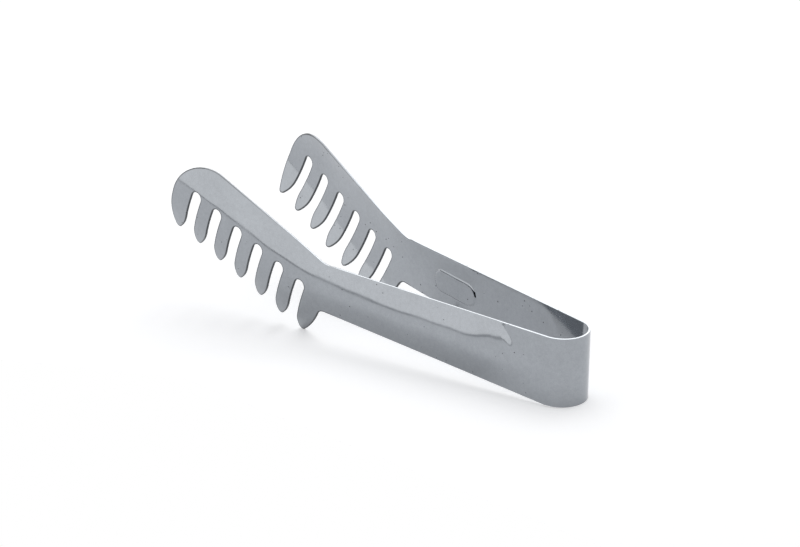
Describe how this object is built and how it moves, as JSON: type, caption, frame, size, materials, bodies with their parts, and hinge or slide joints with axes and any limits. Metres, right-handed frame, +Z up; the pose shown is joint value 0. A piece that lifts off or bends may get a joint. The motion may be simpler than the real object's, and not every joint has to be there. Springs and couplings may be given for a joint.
{
  "type": "spaghetti tongs",
  "caption": "Spring tongs bent from one steel strip: a U-shaped bow, two dished handles and two upturned, toothed combs that close together to grip pasta.",
  "frame": {"origin": "centre of the bounding box on the table plane, with the tongs lying as they rest: on the bow's rear lower edge and the tips of the last teeth", "axes": "+X from the bow towards the combs, +Y towards the left arm, +Z up; the tongs are nose-up by 3.85 degrees about Y, and their mirror plane is Y = 0"},
  "size_m": [0.1945, 0.061, 0.0573],
  "materials": {
    "steel": "satin-polished stainless steel sheet"
  },
  "bodies": {
    "bow": {"spring_bow": "steel"},
    "left_arm": {"left_leaf": "steel", "left_handle": "steel", "left_comb": "steel"},
    "right_arm": {"right_leaf": "steel", "right_handle": "steel", "right_comb": "steel"}
  },
  "joints": [
    {"name": "left_squeeze", "type": "hinge", "parent": "bow", "child": "left_arm", "pos_m": [-0.08724, 0.0095, 0.01392], "axis": [0.0671, 0, -0.9977], "range_deg": [0, 7.8], "stiffness_Nm_per_rad": 8},
    {"name": "right_squeeze", "type": "hinge", "parent": "bow", "child": "right_arm", "pos_m": [-0.08724, -0.0095, 0.01392], "axis": [-0.0671, 0, 0.9977], "range_deg": [0, 7.8], "stiffness_Nm_per_rad": 8}
  ],
  "couplings": [
    {"joint": "right_squeeze", "follows": "left_squeeze", "ratio": 1}
  ]
}
